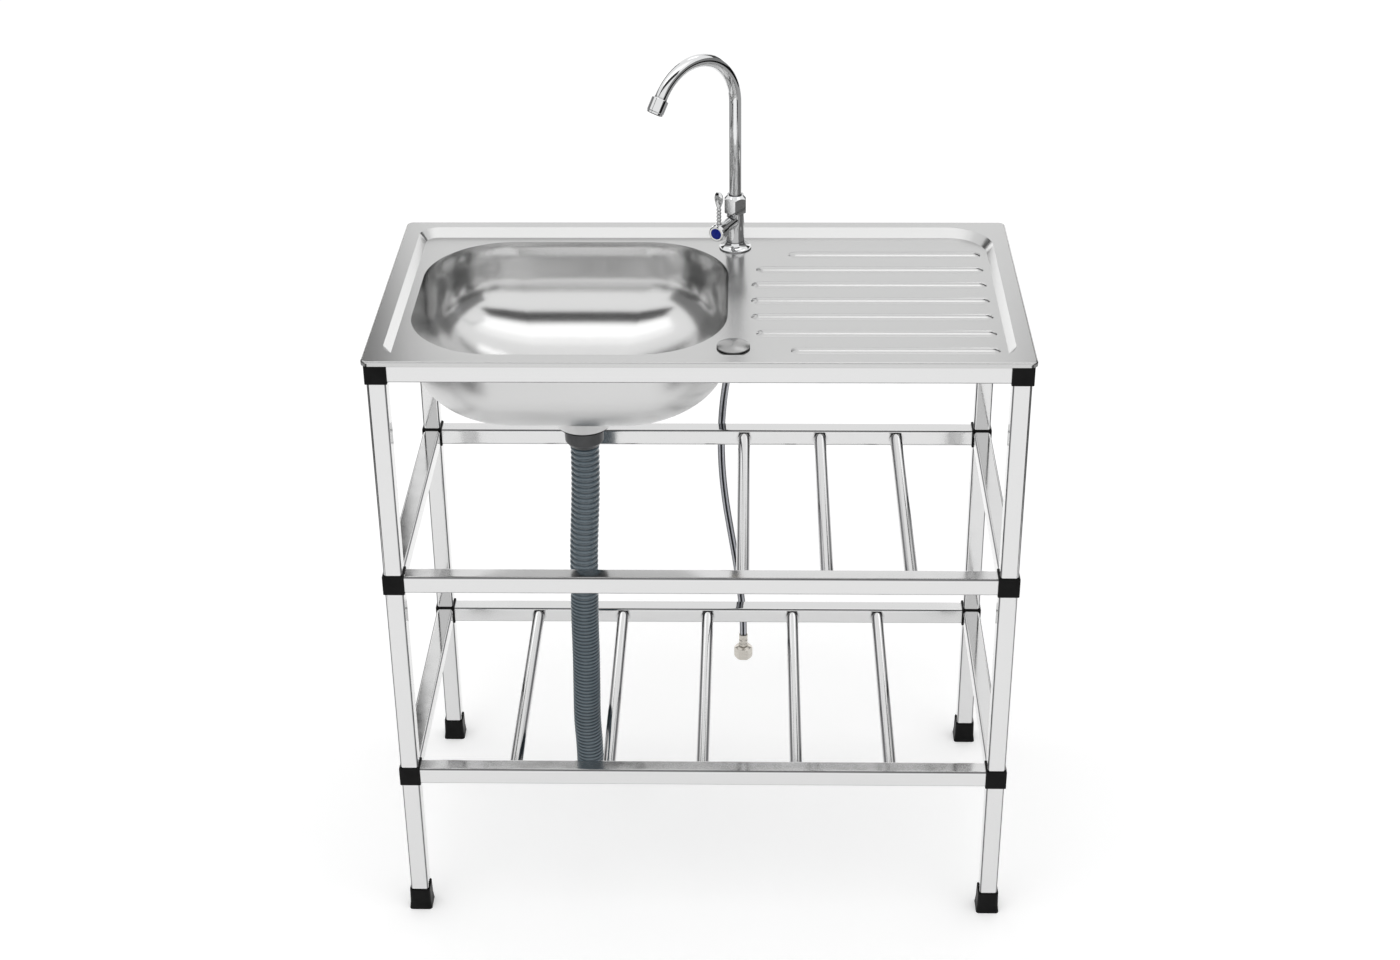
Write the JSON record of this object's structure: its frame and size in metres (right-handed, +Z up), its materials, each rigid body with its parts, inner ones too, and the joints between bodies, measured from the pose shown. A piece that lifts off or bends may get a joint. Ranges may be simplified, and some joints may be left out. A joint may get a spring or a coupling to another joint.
{
  "type": "kitchen sink unit",
  "caption": "Free-standing pressed steel sink with a deep basin and ribbed drainer on a tube frame with rod shelves, a gooseneck cold tap, a braided supply hose and a ribbed waste hose.",
  "frame": {"origin": "on the floor, under the middle of the sink's outline", "axes": "+X to the right seen from the front, towards the drainer; +Y to the rear; +Z up"},
  "size_m": [0.75, 0.418, 1.0273],
  "materials": {
    "sink_steel": "satin pressed stainless steel",
    "tube_steel": "mirror polished steel tube",
    "black_plastic": "moulded, low sheen",
    "tap_chrome": "bright chrome plate",
    "brass": "machined",
    "rubber": "plain",
    "waste_plastic": "moulded, low sheen",
    "cover_plastic": "moulded",
    "hose_plastic": "semi-gloss flexible plastic",
    "hose_braid": "rubber hose under a black and silver braid",
    "nickel": "plated, satin",
    "index_blue": "gloss"
  },
  "bodies": {
    "root": {"basin": "sink_steel", "corner_joints_lower": "black_plastic", "corner_joints_middle": "black_plastic", "corner_joints_top": "black_plastic", "cover_gasket": "rubber", "cover_nut": "cover_plastic", "drain_hose": "hose_plastic", "foot_caps": "black_plastic", "leg_lower_front_left": "tube_steel", "leg_lower_front_right": "tube_steel", "leg_lower_rear_left": "tube_steel", "leg_lower_rear_right": "tube_steel", "leg_middle_front_left": "tube_steel", "leg_middle_front_right": "tube_steel", "leg_middle_rear_left": "tube_steel", "leg_middle_rear_right": "tube_steel", "leg_top_front_left": "tube_steel", "leg_top_front_right": "tube_steel", "leg_top_rear_left": "tube_steel", "leg_top_rear_right": "tube_steel", "rail_lower_front": "tube_steel", "rail_lower_left": "tube_steel", "rail_lower_rear": "tube_steel", "rail_lower_right": "tube_steel", "rail_middle_front": "tube_steel", "rail_middle_left": "tube_steel", "rail_middle_rear": "tube_steel", "rail_middle_right": "tube_steel", "rail_top_front": "tube_steel", "rail_top_left": "tube_steel", "rail_top_rear": "tube_steel", "rail_top_right": "tube_steel", "rod_plugs_lower": "black_plastic", "rod_plugs_middle": "black_plastic", "shelf_rods_lower": "tube_steel", "shelf_rods_middle": "tube_steel", "sink_top": "sink_steel", "spout_nut": "tap_chrome", "strainer": "sink_steel", "strainer_screw": "sink_steel", "supply_ferrule": "nickel", "supply_hose": "hose_braid", "supply_nut": "nickel", "supply_top_ferrule": "nickel", "supply_top_nut": "nickel", "tap_body": "tap_chrome", "tap_flange": "tap_chrome", "tap_hole_cover": "tap_chrome", "tap_lock_nut": "brass", "tap_seat_washer": "rubber", "valve_cartridge": "brass", "waste_body": "waste_plastic", "waste_gasket": "rubber"},
    "spout_body": {"spout": "tap_chrome", "aerator": "tap_chrome"},
    "handle_body": {"tap_handle": "tap_chrome", "index_button": "index_blue", "valve_spindle": "brass"}
  },
  "joints": [
    {"name": "spout_swivel", "type": "hinge", "parent": "root", "child": "spout_body", "pos_m": [0.0384, 0.1415, 0.83], "axis": [0, 0, 1], "continuous": true},
    {"name": "handle_turn", "type": "hinge", "parent": "root", "child": "handle_body", "pos_m": [0.0384, 0.1415, 0.80335], "axis": [-0.4384, -0.8988, 0], "range_deg": [0, 90]}
  ]
}
